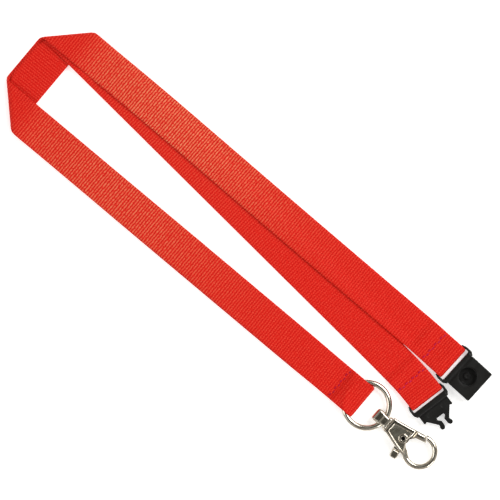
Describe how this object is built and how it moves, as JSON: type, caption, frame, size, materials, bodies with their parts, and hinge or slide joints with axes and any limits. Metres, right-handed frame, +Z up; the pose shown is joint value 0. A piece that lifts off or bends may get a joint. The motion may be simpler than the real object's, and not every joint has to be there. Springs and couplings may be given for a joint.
{
  "type": "neck lanyard",
  "caption": "Flat red neck lanyard: one folded webbing strap, a breakaway side buckle shown open, and a metal ring with a swivelling trigger hook.",
  "frame": {"origin": "middle of the lanyard's outline, on the surface it lies on", "axes": "+X along the doubled strap towards the hook, +Y across towards the buckle's socket half, +Z up from the surface"},
  "size_m": [0.2322, 0.0549, 0.0048],
  "materials": {
    "webbing": "ribbed woven polyester",
    "thread": "twisted polyester thread",
    "plastic": "fine moulded texture",
    "nickel": "polished nickel plate",
    "spring_steel": "drawn wire"
  },
  "bodies": {
    "strap": {"webbing": "webbing", "seam_socket_end": "thread", "seam_plug_end": "thread", "seam_ring_end": "thread"},
    "socket_half": {"buckle_socket": "plastic"},
    "plug_half": {"buckle_plug": "plastic"},
    "ring": {"o_ring": "nickel"},
    "eye": {"swivel_eye": "nickel"},
    "hook": {"hook_body": "nickel", "pivot_rivet": "nickel", "gate_spring": "spring_steel"},
    "gate": {"gate_lever": "nickel"}
  },
  "joints": [
    {"name": "socket_tilt", "type": "hinge", "parent": "strap", "child": "socket_half", "pos_m": [0.09475, 0.01845, 0.002], "axis": [-0.0384, -0.9993, 0], "range_deg": [-90, 90]},
    {"name": "plug_tilt", "type": "hinge", "parent": "strap", "child": "plug_half", "pos_m": [0.09625, 0.00086, 0.002], "axis": [-0.2164, -0.9763, 0], "range_deg": [-90, 90]},
    {"name": "ring_slide_round", "type": "hinge", "parent": "strap", "child": "ring", "pos_m": [0.08035, -0.01705, 0.0024], "axis": [0, 0, 1], "range_deg": [-70, 4]},
    {"name": "eye_tilt", "type": "hinge", "parent": "ring", "child": "eye", "pos_m": [0.08955, -0.01724, 0.0024], "axis": [-0.0209, -0.9998, 0], "range_deg": [-95, 95]},
    {"name": "hook_swivel", "type": "hinge", "parent": "eye", "child": "hook", "pos_m": [0.0921, -0.0173, 0.0024], "axis": [0.9998, -0.0209, 0], "continuous": true},
    {"name": "gate_pivot", "type": "hinge", "parent": "hook", "child": "gate", "pos_m": [0.10014, -0.01786, 0.0024], "axis": [0, 0, -1], "range_deg": [0, 32], "stiffness_Nm_per_rad": 0.03, "springref_deg": -20.05}
  ]
}
